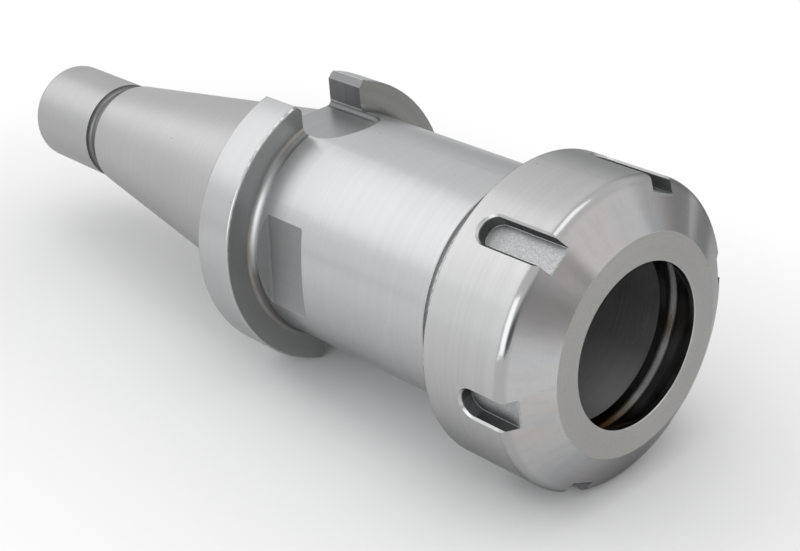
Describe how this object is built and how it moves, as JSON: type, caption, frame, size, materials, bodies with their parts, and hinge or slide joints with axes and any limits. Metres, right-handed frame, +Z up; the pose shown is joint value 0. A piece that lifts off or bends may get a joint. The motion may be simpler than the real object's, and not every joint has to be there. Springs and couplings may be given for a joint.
{
  "type": "collet chuck holder",
  "caption": "Machine tool collet chuck: a steep taper shank with pilot, flange with drive slots, a cylindrical body and a slotted clamping nut screwed on its nose.",
  "frame": {"origin": "centre of the gauge circle of the steep taper, on the chuck's axis", "axes": "+X along the chuck's axis towards the nut; +Z up through one drive slot, with the other facing down; the wrench flats face within 3 degrees of +Y and -Y"},
  "size_m": [0.1887, 0.063, 0.063],
  "materials": {
    "ground_steel": "hardened and ground alloy steel, satin",
    "turned_steel": "hardened alloy steel, finely turned, with a matte front face"
  },
  "bodies": {
    "holder": {"holder_body": "ground_steel"},
    "nut": {"clamping_nut": "turned_steel"}
  },
  "joints": [
    {"name": "nut_turn", "type": "hinge", "parent": "holder", "child": "nut", "pos_m": [0.083, 0, 0], "axis": [1, 0, 0], "range_deg": [-168, 2700]}
  ]
}
